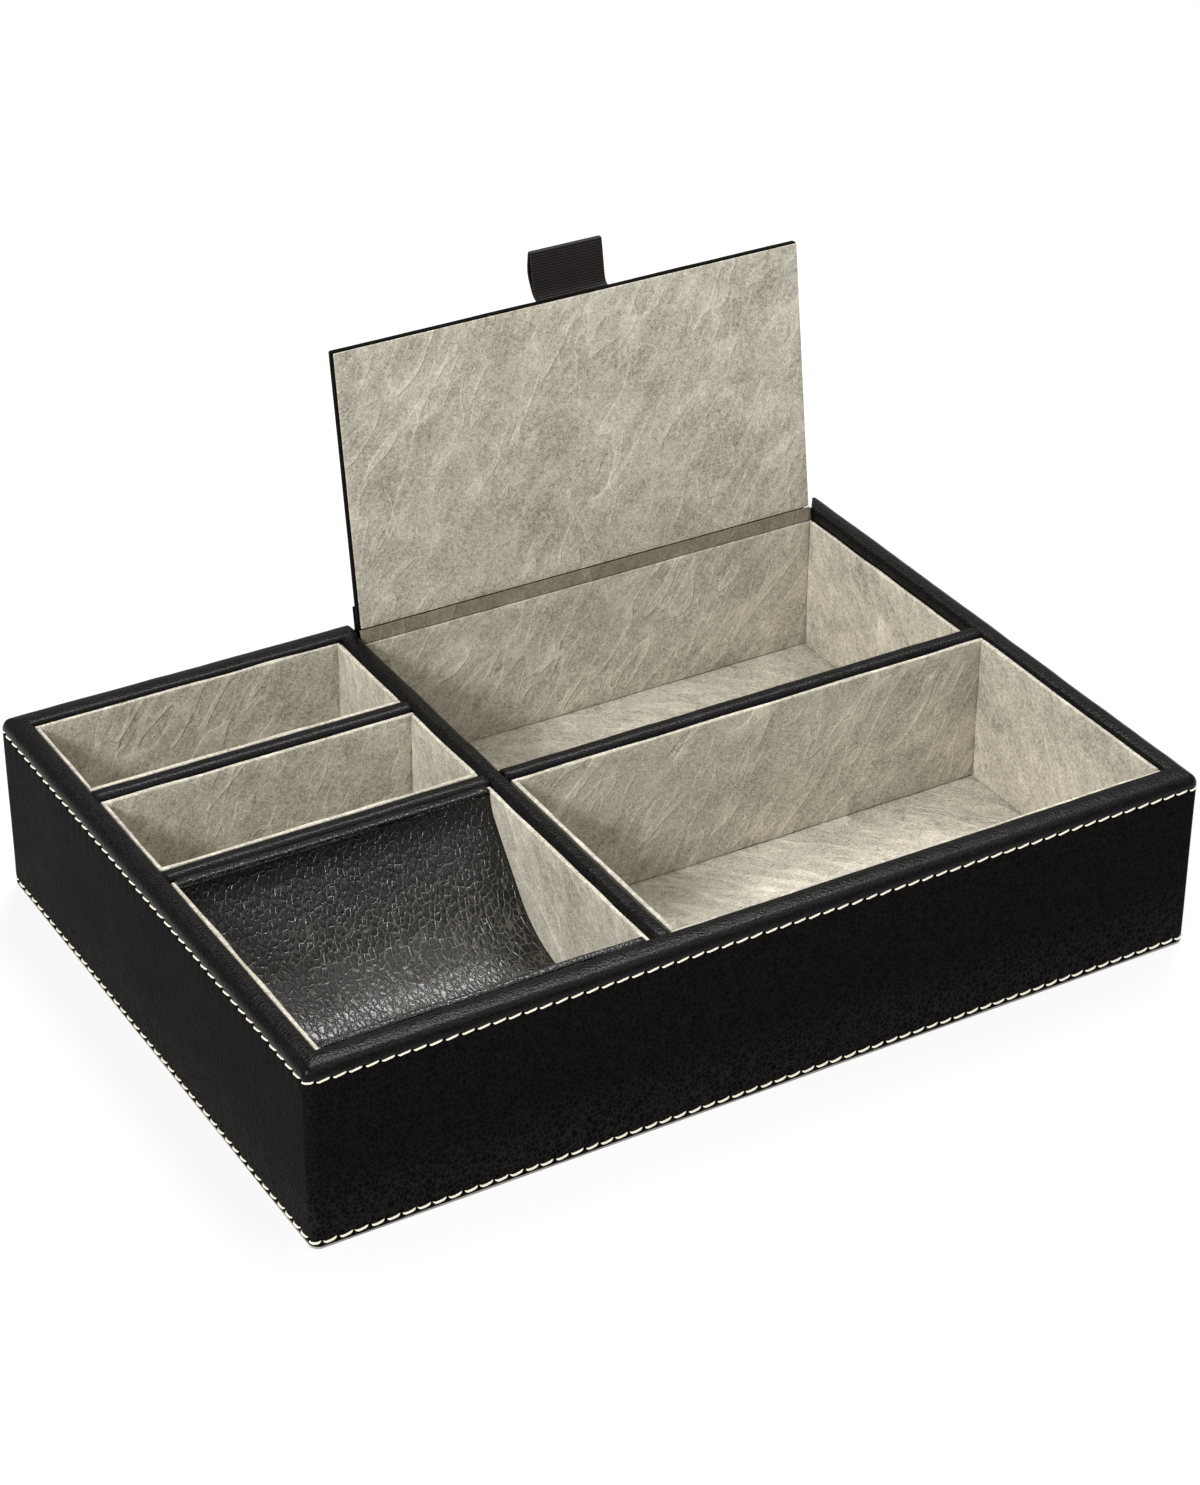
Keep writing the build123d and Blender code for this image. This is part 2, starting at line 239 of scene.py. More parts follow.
# Hinge
hinge_leather_thickness = 0.7
hinge_leather_thinning = 0.95
hinge_gap = 0.3
hinge_flap_length = 6.0
hinge_foot_end_inset = 1.0
hinge_bend_start = 2.1
hinge_bend_rear = 0.825
hinge_bend_up = 0.75
hinge_step = 0.3
hinge_leather_waves = [(0.03, 7.0)]
hinge_band_thickness = 0.5
hinge_band_thinning = 0.9
hinge_band_inset = 0.3
hinge_band_foot = 0.02
hinge_band_head = 0.25
hinge_band_waves = [(0.05, 5.0)]


# Meshes
def unit(vectors):
    lengths = np.linalg.norm(vectors, axis=-1, keepdims=True)
    return vectors / np.maximum(lengths, 1e-9)


def ripple(points, size, seed, waves=14):
    """A smooth random field of about unit height, whose bumps are about one size wide."""
    draw = np.random.default_rng(seed)
    field = np.zeros(points.shape[:-1])
    for _ in range(waves):
        direction = unit(draw.normal(size=3))
        turns = draw.uniform(0.6, 1.5) * math.tau / (2 * size)
        field += np.sin(points @ direction * turns + draw.uniform(0, math.tau))
    return field / math.sqrt(waves)


def waviness(points, waves, seed):
    """How far a surface stands out from its plain form, from waves of several sizes."""
    return sum(height * ripple(points, size, seed + i) for i, (height, size) in enumerate(waves))


def grid_faces(rows, columns, close_rows=False, close_columns=False):
    """Quads over a grid of points, numbered row by row."""
    row = np.arange(rows if close_rows else rows - 1)
    column = np.arange(columns if close_columns else columns - 1)
    row, column = np.meshgrid(row, column, indexing="ij")
    next_row, next_column = (row + 1) % rows, (column + 1) % columns
    corners = [row * columns + column, next_row * columns + column]
    corners += [next_row * columns + next_column, row * columns + next_column]
    return np.stack([corner.ravel() for corner in corners], axis=1)


def thick_sheet(front, ways, thickness):
    """Points and faces of a closed sheet: a grid of points and its copy one thickness behind."""
    rows, columns = front.shape[:2]
    back = front - ways * np.asarray(thickness)[..., None]
    count = rows * columns
    face = grid_faces(rows, columns)
    index = np.arange(count).reshape(rows, columns)
    border = [*index[0, :-1], *index[:-1, -1], *index[-1, :0:-1], *index[:0:-1, 0]]
    ahead = border[1:] + border[:1]
    rim = np.array([[a, b, b + count, a + count] for a, b in zip(border, ahead)])
    points = np.concatenate([front.reshape(-1, 3), back.reshape(-1, 3)])
    return points, np.concatenate([face, face[:, ::-1] + count, rim])


def welded(points, faces):
    """Points that agree to four decimals become one, and the faces that this empties are left out."""
    keys = np.round(points, 4)
    _, first, place = np.unique(keys, axis=0, return_index=True, return_inverse=True)
    kept = []
    for face in place.ravel()[faces].tolist():
        ring = [v for i, v in enumerate(face) if v != face[i - 1]]
        if len(set(ring)) == len(ring) > 2:
            kept.append(ring)
    return points[first], kept


def add_object(name, data):
    made = bpy.data.objects.new(name, data)
    bpy.context.scene.collection.objects.link(made)
    return made


def make_piece(name, points, faces, material, node_name, body="tray"):
    """A mesh piece that stands for a node of the construction and rides on a body, if it has one."""
    mesh = bpy.data.meshes.new(name)
    faces = faces.tolist() if isinstance(faces, np.ndarray) else faces
    mesh.from_pydata((points * MM).tolist(), [], faces)
    mesh.validate()
    mesh.update()
    mesh.shade_smooth()
    mesh.materials.append(material)
    piece = add_object(name, mesh)
    face_outward(mesh)
    if body:
        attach(piece, body)
    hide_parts(node_name)
    return piece


def face_outward(mesh):
    """Turns the faces of a closed mesh so that they look outward."""
    mesh.calc_loop_triangles()
    places = np.array([v.co for v in mesh.vertices])
    corners = np.array([t.vertices for t in mesh.loop_triangles])
    a, b, c = (places[corners[:, i]] - places.mean(axis=0) for i in range(3))
    if np.einsum("ij,ij->i", a, np.cross(b, c)).sum() < 0:
        mesh.flip_normals()


def stops(low, high, radius, step):
    """Places along one side of a rounded box, close together round its edges."""
    edge = radius * np.array([0.0, 0.22, 0.55])
    flat = max(2, round((high - low - 2 * radius) / step) + 1)
    middle = np.linspace(low + radius, high - radius, flat)
    return np.concatenate([low + edge, middle, high - edge[::-1]])


def rounded_box(low, high, radius, step):
    """Points, faces and directions outward of a box with rolled edges."""
    along = [stops(low[i], high[i], radius, step) for i in range(3)]
    points, faces = [], []
    for axis in range(3):
        a, b = (axis + 1) % 3, (axis + 2) % 3
        for side, plane in enumerate((low[axis], high[axis])):
            u, v = np.meshgrid(along[a], along[b], indexing="ij")
            sheet = np.zeros((*u.shape, 3))
            sheet[..., axis], sheet[..., a], sheet[..., b] = plane, u, v
            face = grid_faces(*u.shape)
            start = sum(len(p) for p in points)
            points.append(sheet.reshape(-1, 3))
            faces.append((face if side else face[:, ::-1]) + start)
    points, faces = welded(np.concatenate(points), np.concatenate(faces))
    core = np.clip(points, low + radius, high - radius)
    ways = unit(points - core)
    return core + ways * radius, faces, ways


def path_normals(path):
    """Normals to the left of an open path in a plane."""
    ahead = np.gradient(path, axis=0)
    return unit(np.stack([-ahead[:, 1], ahead[:, 0]], axis=1))


def run_along(path, normals, places, axis):
    """A path in the upright plane across an axis, 0 or 1, repeated at places along that axis.

    Gives a grid of points and the direction out of the surface at each.
    """
    points = np.zeros((len(places), len(path), 3))
    ways = np.zeros_like(points)
    points[..., axis] = places[:, None]
    for i, across in enumerate((1 - axis, 2)):
        points[..., across] = path[:, i]
        ways[..., across] = normals[:, i]
    return points, ways


def sheet_along_x(path, columns, thickness, stand=0.0):
    """A sheet that follows a path in (y, z) and runs along X, as points and faces."""
    points, ways = run_along(path, path_normals(path), columns, 0)
    front = points + ways * np.asarray(thickness / 2 + stand)[..., None]
    return thick_sheet(front, ways, thickness + 2 * stand)


def arc(centre, radius, start, end, steps):
    """Points along an arc between two angles in degrees."""
    angles = np.radians(np.linspace(start, end, steps))
    return [(centre[0] + radius * math.cos(a), centre[1] + radius * math.sin(a)) for a in angles]


def even_path(points, step):
    """A path with points a step apart, its corners kept."""
    path = [points[0]]
    for start, end in zip(points[:-1], points[1:]):
        parts = max(1, round(math.dist(start, end) / step))
        for i in range(1, parts + 1):
            share = i / parts
            path.append(tuple(s + (e - s) * share for s, e in zip(start, end)))
    return np.array(path)


def path_lengths(path):
    """How far along a path each of its points is."""
    return np.concatenate([[0], np.cumsum(np.linalg.norm(np.diff(path, axis=0), axis=1))])


def smooth_path(corners, step):
    """A soft curve through the plane, led by given corners and cut into even steps."""
    curve = bpy.data.curves.new("path", "CURVE")
    spline = curve.splines.new("NURBS")
    spline.points.add(len(corners) - 1)
    for point, (y, z) in zip(spline.points, corners):
        point.co = (0.0, y, z, 1.0)
    spline.order_u = 3
    spline.use_endpoint_u = True
    spline.resolution_u = 16
    holder = bpy.data.objects.new("path", curve)
    mesh = bpy.data.meshes.new_from_object(holder)
    line = np.array([(v.co.y, v.co.z) for v in mesh.vertices])
    bpy.data.objects.remove(holder)
    bpy.data.curves.remove(curve)
    bpy.data.meshes.remove(mesh)
    along = path_lengths(line)
    places = np.linspace(0, along[-1], max(2, round(along[-1] / step)) + 1)
    return np.stack([np.interp(places, along, line[:, i]) for i in range(2)], axis=1)


# Materials
def fill(tree, made, inputs):
    """Gives a shader node its inputs, each a number, a colour or a socket to link."""
    for name, value in inputs.items():
        if isinstance(value, bpy.types.NodeSocket):
            tree.links.new(value, made.inputs[name])
        else:
            made.inputs[name].default_value = value


def node(tree, kind, inputs=None, **settings):
    """Adds a shader node with its settings and inputs."""
    made = tree.nodes.new(kind)
    for name, value in settings.items():
        setattr(made, name, value)
    fill(tree, made, inputs or {})
    return made


def linear(red, green, blue):
    """A colour seen as 0 to 255 on a screen, as a linear colour."""
    parts = [c / 255 for c in (red, green, blue)]
    return (*[c / 12.92 if c <= 0.04045 else ((c + 0.055) / 1.055) ** 2.4 for c in parts], 1.0)


def new_material(name, colour):
    material = bpy.data.materials.new(name)
    material.use_nodes = True
    material.diffuse_color = colour
    tree = material.node_tree
    shader = tree.nodes["Principled BSDF"]
    return material, tree, shader


def placed(tree, size, stretch=(1, 1, 1), turn=(0, 0, 0)):
    """Coordinates in which one unit is one size, in millimetres, of the part."""
    place = node(tree, "ShaderNodeTexCoord").outputs["Object"]
    angles = [math.radians(a) for a in turn]
    spun = node(tree, "ShaderNodeMapping", {"Vector": place, "Rotation": angles})
    scale = [1 / (size * MM * s) for s in stretch]
    sized = node(tree, "ShaderNodeMapping", {"Vector": spun.outputs["Vector"], "Scale": scale})
    return sized.outputs["Vector"]


def noise(tree, vector, detail=2.0, roughness=0.5):
    inputs = {"Vector": vector, "Scale": 1.0, "Detail": detail, "Roughness": roughness}
    return node(tree, "ShaderNodeTexNoise", inputs).outputs["Fac"]


def vector_maths(tree, operation, inputs):
    return node(tree, "ShaderNodeVectorMath", inputs, operation=operation).outputs[0]


def wandered(tree, vector, amount, detail=2.0):
    """Coordinates pushed about by noise, by an amount of their unit."""
    push = node(tree, "ShaderNodeTexNoise", {"Vector": vector, "Scale": 0.9, "Detail": detail})
    centred = vector_maths(tree, "SUBTRACT", {0: push.outputs["Color"], 1: (0.5, 0.5, 0.5)})
    scaled = vector_maths(tree, "SCALE", {0: centred, "Scale": amount})
    return vector_maths(tree, "ADD", {0: vector, 1: scaled})


def ranged(tree, value, low, high, to_low=0.0, to_high=1.0, smooth=True):
    """A value carried from one range into another and held at its ends."""
    inputs = {"Value": value, "From Min": low, "From Max": high, "To Min": to_low, "To Max": to_high}
    kind = "SMOOTHSTEP" if smooth else "LINEAR"
    return node(tree, "ShaderNodeMapRange", inputs, interpolation_type=kind).outputs["Result"]


def maths(tree, operation, first, second):
    return node(tree, "ShaderNodeMath", {0: first, 1: second}, operation=operation).outputs[0]


def total(tree, *parts):
    """The sum of values, each with its weight."""
    added = maths(tree, "MULTIPLY", *parts[0])
    for value, weight in parts[1:]:
        added = maths(tree, "ADD", added, maths(tree, "MULTIPLY", value, weight))
    return added


def colour_between(tree, share, first, second):
    """A mix of two colours. In the mix node, inputs 6 and 7 and output 2 are the colours."""
    inputs = {0: share, 6: first, 7: second}
    return node(tree, "ShaderNodeMix", inputs, data_type="RGBA").outputs[2]


def bumped(tree, height, depth):
    """The normals of a relief with a depth in millimetres."""
    inputs = {"Height": height, "Distance": depth * MM, "Strength": 1.0}
    return node(tree, "ShaderNodeBump", inputs).outputs["Normal"]


def cell_edges(tree, place):
    """How far a place is from the edge of its cell, in cells of about one unit."""
    inputs = {"Vector": place, "Scale": 1.0}
    return node(tree, "ShaderNodeTexVoronoi", inputs, feature="DISTANCE_TO_EDGE").outputs["Distance"]


def painted_light_low(tree, low, high):
    """One at a low height, fading to nothing at a high one: where the creases take a paler colour that is
    painted light.
    """
    place = node(tree, "ShaderNodeTexCoord").outputs["Object"]
    height = node(tree, "ShaderNodeSeparateXYZ", {"Vector": place}).outputs["Z"]
    return ranged(tree, height, low * MM, high * MM, 1.0, 0.0)


def creases(tree, pebble, stretch, wander, crease_width, small_creases):
    """The distance from the creases round the pebbles, and the pattern of all creases."""
    edge = cell_edges(tree, wandered(tree, placed(tree, pebble, stretch), wander))
    crease = ranged(tree, edge, 0.0, crease_width, 1.0, 0.0)
    small_place = wandered(tree, placed(tree, pebble * 0.5, stretch), 0.6)
    small_crease = ranged(tree, cell_edges(tree, small_place), 0.0, crease_width * 1.4, 1.0, 0.0)
    broken = ranged(tree, noise(tree, placed(tree, pebble * 2.2), detail=1.0), 0.35, 0.62)
    small_crease = maths(tree, "MULTIPLY", small_crease, broken)
    return edge, total(tree, (crease, 0.8), (small_crease, small_creases))


def leather_material(
    name, colours, pebble, dome_rise, crease_drop, gloss, index,
    stretch=(1, 1, 1.15), wander=0.6, crease_width=0.14, small_creases=0.4, painted_light_heights=(3, 24),
):
    """Black pebbled leather: domed pebbles with narrow creases round them, and smaller creases.

    The colours are those of the pebbles, of the creases, and of the creases low down, where the paler
    colour is painted light.
    """
    tops, valleys, painted_light_crease = colours
    material, tree, shader = new_material(name, tops)
    edge, fold = creases(tree, pebble, stretch, wander, crease_width, small_creases)
    dome = ranged(tree, edge, 0.0, 0.45)
    fibre = noise(tree, placed(tree, size=0.2), detail=2.0)
    relief = total(tree, (dome, dome_rise), (fold, -crease_drop), (fibre, 0.005))
    # Painted light: low down, the creases turn to the paler colour, by height in the part.
    creased = colour_between(tree, painted_light_low(tree, *painted_light_heights), valleys, painted_light_crease)
    worn = ranged(tree, noise(tree, placed(tree, size=6.0), detail=3.0), 0.3, 0.7, -0.03, 0.03)
    rough = maths(tree, "ADD", total(tree, (fold, 0.12), (worn, 1.0)), gloss)
    colour = colour_between(tree, fold, tops, creased)
    fill(tree, shader, {"Base Color": colour, "Roughness": rough, "IOR": index})
    fill(tree, shader, {"Normal": bumped(tree, relief, depth=1.0)})
    return material


def swept(tree, size, turn):
    """Strokes of a nap brushed on a slant, each with one sharp side and one that fades."""
    place = wandered(tree, placed(tree, size, nap_stretch, turn), 0.6, detail=0.5)
    field = noise(tree, place, detail=0.4)
    rise = ranged(tree, field, 0.49, 0.51)
    fade = ranged(tree, field, 0.51, 0.66, 1.0, 0.0)
    return maths(tree, "MULTIPLY", rise, fade)


nap_stretch = (1, 4, 4)
nap_turn = (0, -40, -35)
fine_nap_turn = (0, -25, -39)


def suede_material(name, light, dark, sheen):
    """Suede: soft patches, strokes where the nap was brushed on a slant, and a fine nap."""
    material, tree, shader = new_material(name, light)
    patches = noise(tree, wandered(tree, placed(tree, size=18.0), 0.6), detail=2.0, roughness=0.7)
    brushed_place = wandered(tree, placed(tree, 3.2, nap_stretch, nap_turn), 0.5)
    brushed = noise(tree, brushed_place, detail=3.0, roughness=0.8)
    here = ranged(tree, noise(tree, placed(tree, size=22.0), detail=1.0), 0.4, 0.55)
    there = ranged(tree, noise(tree, placed(tree, 17.0, turn=(40, 0, 0)), detail=1.0), 0.42, 0.58)
    wide = maths(tree, "MULTIPLY", swept(tree, 6.0, nap_turn), here)
    narrow = maths(tree, "MULTIPLY", swept(tree, 3.0, fine_nap_turn), there)
    strokes = total(tree, (wide, 1.0), (narrow, 0.8))
    grain = noise(tree, placed(tree, size=1.3), detail=2.0, roughness=1.0)
    nap = noise(tree, placed(tree, size=0.5), detail=1.0, roughness=0.8)
    tone = total(tree, (patches, 0.75), (brushed, 0.85), (grain, 1.3), (nap, 1.4), (strokes, 0.22))
    colour = colour_between(tree, ranged(tree, tone, 1.5, 2.9, smooth=False), dark, light)
    relief = total(tree, (nap, 0.4), (grain, 0.4), (brushed, 0.5), (strokes, 0.9))
    fill(tree, shader, {"Base Color": colour, "Normal": bumped(tree, relief, depth=0.16)})
    fill(tree, shader, {"Roughness": 0.95, "Specular IOR Level": 0.1})
    fill(tree, shader, {"Sheen Weight": sheen, "Sheen Roughness": 0.45, "Sheen Tint": light})
    return material


def woven_material(name, colour, pale, size, roughness, shine, sheen):
    """Thread or ribbon: fine spun fibres, a little lighter where they stand proud."""
    material, tree, shader = new_material(name, colour)
    fibre = noise(tree, placed(tree, size, stretch=(1, 3, 1)), detail=3.0, roughness=0.6)
    tone = colour_between(tree, fibre, colour, pale)
    fill(tree, shader, {"Base Color": tone, "Normal": bumped(tree, fibre, depth=0.05)})
    fill(tree, shader, {"Roughness": roughness, "Specular IOR Level": shine, "Sheen Weight": sheen})
    return material


def fibre_material(name, colour, pale, size, depth, roughness):
    """Fibreboard, card or paper: matted fibres in two tones."""
    material, tree, shader = new_material(name, colour)
    mat = noise(tree, wandered(tree, placed(tree, size), 1.0), detail=5.0, roughness=0.65)
    flecks = ranged(tree, noise(tree, placed(tree, size * 0.35), detail=2.0), 0.45, 0.7)
    tone = colour_between(tree, total(tree, (mat, 0.5), (flecks, 0.5)), colour, pale)
    fill(tree, shader, {"Base Color": tone, "Normal": bumped(tree, mat, depth), "Roughness": roughness})
    return material


# Painted reflection: the third wall colour makes the creases paler towards the bottom of the walls, in
# place of the floor's reflection.
wall_colours = linear(12, 11, 11), linear(23, 21, 20), linear(36, 34, 33)
rim_colours = linear(7, 6, 6), linear(20, 18, 17), linear(20, 18, 17)
# Painted highlight: the third scoop colour makes the creases pale in the lower part of the trough, in place
# of the lamps' glints along them.
scoop_colours = linear(7, 6, 5), linear(18, 16, 15), linear(84, 79, 70)
leather = leather_material(
    "leather", wall_colours, pebble=1.45, dome_rise=0.05, crease_drop=0.035, gloss=0.3, index=1.03
)
rim_leather = leather_material(
    "rim_leather", rim_colours, pebble=1.2, dome_rise=0.028, crease_drop=0.022, gloss=0.22, index=1.2
)
scoop_leather = leather_material(
    "scoop_leather", scoop_colours, pebble=1.4, dome_rise=0.06, crease_drop=0.17, gloss=0.24, index=1.5,
    stretch=(1, 1.7, 1.7), wander=0.4, crease_width=0.12, small_creases=0.25, painted_light_heights=(26, 43),
)
suede = suede_material("suede", linear(221, 215, 199), linear(110, 105, 92), sheen=0.12)
# A darker copy of the suede for the hinge band: partly the band's own tone, partly painted shade of the
# recess it lies in.
hinge_suede = suede_material("hinge_suede", linear(146, 138, 120), linear(86, 80, 66), sheen=0.1)
thread = woven_material(
    "thread", linear(222, 214, 190), linear(244, 240, 226),
    size=0.16, roughness=0.75, shine=0.12, sheen=0.15,
)
ribbon = woven_material(
    "ribbon", linear(20, 16, 14), linear(38, 31, 28), size=0.2, roughness=0.45, shine=0.2, sheen=0.02
)
# Painted shade: a darker copy of the ribbon for the grooves between its ribs.
ribbon_groove_painted_shade = woven_material(
    "ribbon_groove_painted_shade", linear(3, 2, 2), linear(10, 8, 7), size=0.2, roughness=0.6, shine=0.1, sheen=0.0
)
fibreboard = fibre_material(
    "fibreboard", linear(126, 98, 66), linear(170, 140, 100), size=0.9, depth=0.06, roughness=0.85
)
card = fibre_material(
    "card", linear(108, 102, 92), linear(150, 143, 130), size=0.6, depth=0.04, roughness=0.9
)
paper = fibre_material(
    "underside_paper", linear(146, 143, 138), linear(172, 169, 164), size=0.7, depth=0.04, roughness=0.9
)


def finish_construction():
    """Gives their materials to the nodes that stay: the boards, the scoop's card and the underside."""
    finishes = {name: fibreboard for name in frame["nodes"] if name.endswith("_board")}
    finishes |= {"coin_scoop_card": card, "underside_sheet": paper}
    for name, finish in finishes.items():
        for slot in frame["nodes"][name].material_slots:
            slot.link = "OBJECT"
            slot.material = finish


# The tray's outline, run round from the middle of the front left corner
def outline(distance):
    """Place on the tray's outline and the direction out of it, for distances round it."""
    turn_length = corner_radius * math.pi / 2
    half_x, half_y = x_end - corner_radius, y_side - corner_radius
    runs = [2 * half_x, 2 * half_y, 2 * half_x, 2 * half_y]
    corners = [(-half_x, -half_y), (half_x, -half_y), (half_x, half_y), (-half_x, half_y)]
    sides = [(0, -1), (1, 0), (0, 1), (-1, 0)]
    whole = sum(runs) + 4 * turn_length
    at = (np.asarray(distance, float) - turn_length / 2) % whole
    places, outs = np.zeros((*at.shape, 2)), np.zeros((*at.shape, 2))
    start = 0.0
    for side in range(4):
        out = np.array(sides[side], float)
        ahead = np.array([-out[1], out[0]])
        begin = np.array(corners[side]) + out * corner_radius
        on_run = (at >= start) & (at < start + runs[side])
        places[on_run] = begin + ahead * (at[on_run] - start)[:, None]
        outs[on_run] = out
        start += runs[side]
        centre = np.array(corners[(side + 1) % 4])
        on_turn = (at >= start) & (at < start + turn_length)
        angle = (at[on_turn] - start) / corner_radius
        radial = out * np.cos(angle)[:, None] + ahead * np.sin(angle)[:, None]
        places[on_turn] = centre + radial * corner_radius
        outs[on_turn] = radial
        start += turn_length
    return places, outs


outline_length = 4 * (x_end + y_side - 2 * corner_radius) + 2 * math.pi * corner_radius
outline_samples = 40000
stitch_count = round(outline_length / stitch_pitch)
pitch = outline_length / stitch_count


def distance_of(matches):
    """The distance round the outline where a test of its places first turns true."""
    distances = np.linspace(0, outline_length, outline_samples)
    places, _ = outline(distances)
    return distances[np.argmax(matches(places))]


def past_right_ear(places):
    """Where the lowered rear edge begins, on a slant across the corner."""
    slope = (y_side - y_rear) / (x_end - step_ear - x_right)
    past = places[:, 1] - y_rear
    return (past > 0) & (past > (places[:, 0] - x_right) * slope)


def past_step(places):
    """Where the lowered rear edge ends, at the centre divider's side."""
    return (places[:, 1] > y_rear) & (places[:, 0] < x_step)


step_start = distance_of(past_right_ear)
step_end = distance_of(past_step)
step_drop = z_rim - z_ledge


def in_step(distance):
    return step_start < distance < step_end


# Leather round the tray
def seam_relief(distance, rise):
    """How far leather stands out from its face near a seam, for distances along and across it."""
    from_hole = ((distance / pitch) % 1.0 - 0.5) * pitch - hole_lean * rise
    groove = seam_depth * np.exp(-((rise / seam_width) ** 2))
    hole = hole_depth * np.exp(-((from_hole / hole_width) ** 2) - (rise / hole_length) ** 2)
    pull = 0.5 + 0.5 * np.cos(math.tau * (distance / pitch))
    from_pucker = (np.abs(rise) - pucker_place) / pucker_width
    puff = pucker_height * (pucker_swing * pull - pucker_sink) * np.exp(-(from_pucker**2))
    return puff - groove - hole


def cover_rows():
    """Distances round the outline of the rows of points, and how far rim and seam drop there."""
    near_step = step_roll * 1.3
    distances = (np.arange(stitch_count)[:, None] + stitch_shares - 0.5) * pitch % outline_length
    rows = []
    for distance in np.round(distances, 6).ravel():
        if min(abs(distance - step_start), abs(distance - step_end)) > near_step:
            drop = step_drop if in_step(distance) else 0.0
            rows.append((distance, drop, drop))
    for edge, side in ((step_start, -1), (step_end, 1)):
        for a in np.radians([0, 30, 60, 90]):
            rows.append((edge + side * step_roll * (1 - math.sin(a)), step_roll * (1 - math.cos(a)), 0.0))
        rows.append((edge - side * step_gap, step_drop, step_drop))
        rows.append((edge - side * near_step, step_drop, step_drop))
    return np.array(sorted(rows))


def roll(side, radius, top, angles, rim_share):
    """Points round a rolled edge whose top is at a height."""
    points = []
    for a in np.radians(angles):
        depth, height = radius * (1 - math.cos(a)), top - radius * (1 - math.sin(a))
        points.append((side, depth, height, math.cos(a), math.sin(a), rim_share, 0))
    return points


def cover_profile():
    """Points across the leather, from its lower edge outside to its lower edge inside.

    Each has its side, how far it is behind that side's face, its height, how much the leather
    faces out and up there, and what share of the rim's and of the seam's drop it takes. On the
    rim's top the second value is the share of the way across instead.
    """
    points = roll("outer", under_roll, z_under + 2 * under_roll, (-90, -45, 0), 0)
    points += [("outer", 0.0, bottom_thread_rise + rise, 1, 0, 0, 0) for rise in bottom_seam_rises]
    z_seam = z_rim - top_thread_drop
    low, high = bottom_thread_rise + bottom_seam_rises[-1], z_seam + top_seam_rises[0]
    points += [("outer", 0.0, low + share * (high - low), 1, 0, 0, share) for share in wall_shares]
    points += [("outer", 0.0, z_seam + rise, 1, 0, 0, 1) for rise in top_seam_rises]
    points += roll("outer", rim_outer_roll, z_rim, np.linspace(0, 90, 12), 1)
    points += [("top", share, z_rim, 0, 1, 1, 0) for share in rim_shares]
    points += roll("inner", rim_inner_roll, z_rim, np.linspace(90, 0, 6), 1)
    behind = leather_thickness
    turned_in = [(0.0, rim_fold_start, 1), (0.0, rim_fold_depth, 0)]
    turned_in += [(behind, rim_fold_depth, 0), (behind, behind, 1)]
    points += [("inner", depth, z_rim - drop, 1, 0, share, 0) for depth, drop, share in turned_in]
    points += [("outer", behind, z_rim - behind, 1, 0, 1, 0), ("outer", behind, z_under, 1, 0, 0, 0)]
    return points


def make_outer_cover():
    """One wrap: the section's points run round the outline, with relief on those that show."""
    distance, rim_drop, seam_drop = cover_rows().T
    places, outs = outline(distance)
    inner_places = np.clip(places, (x_left, y_front), (x_right, y_rear))
    inward = unit(inner_places - places)
    rim_start = places - outs * rim_outer_roll
    rim_end = inner_places - inward * rim_inner_roll
    z_seam = z_rim - top_thread_drop
    columns = []
    for side, depth, height, out, up, rim_share, seam_share in cover_profile():
        stand = 0.0
        if side == "outer":
            plan, away = places - outs * depth, outs * out
            if depth == 0:
                stand = seam_relief(distance, height - (z_seam if seam_share == 1 else bottom_thread_rise))
        elif side == "inner":
            plan, away = inner_places - inward * depth, inward * out
        else:
            plan, away = rim_start + (rim_end - rim_start) * depth, inward * 0
            stand = rim_crown * math.sin(depth * math.pi)
        z = height - rim_share * rim_drop - seam_share * seam_drop
        point = np.concatenate([plan, z[:, None]], axis=1)
        if depth != leather_thickness:
            wave = waviness(point, hide_waves, seed=3)
            wave = wave + (waviness(point, rim_waves, seed=5) if rim_share else 0.0)
            way = np.concatenate([away, np.full((len(distance), 1), float(up))], axis=1)
            point = point + way * (stand + wave)[:, None]
        columns.append(point)
    points = np.stack(columns, axis=1)
    faces = grid_faces(*points.shape[:2], close_rows=True, close_columns=True)
    points, faces = welded(points.reshape(-1, 3), faces)
    piece = make_piece("outer_cover_leather", points, faces, leather, "outer_cover")
    polish_rim(piece)


def polish_rim(piece):
    """Gives the leather above the top seam the polish that hands give a rim."""
    piece.data.materials.append(rim_leather)
    for face in piece.data.polygons:
        x, y, z = (c / MM for c in face.center)
        top = z_ledge if y > y_rear - rim_outer_roll and x_step < x < x_right + step_ear else z_rim
        face.material_index = int(z > top - top_thread_drop)


# Stitches
stitch_rings, stitch_sides = 13, 12


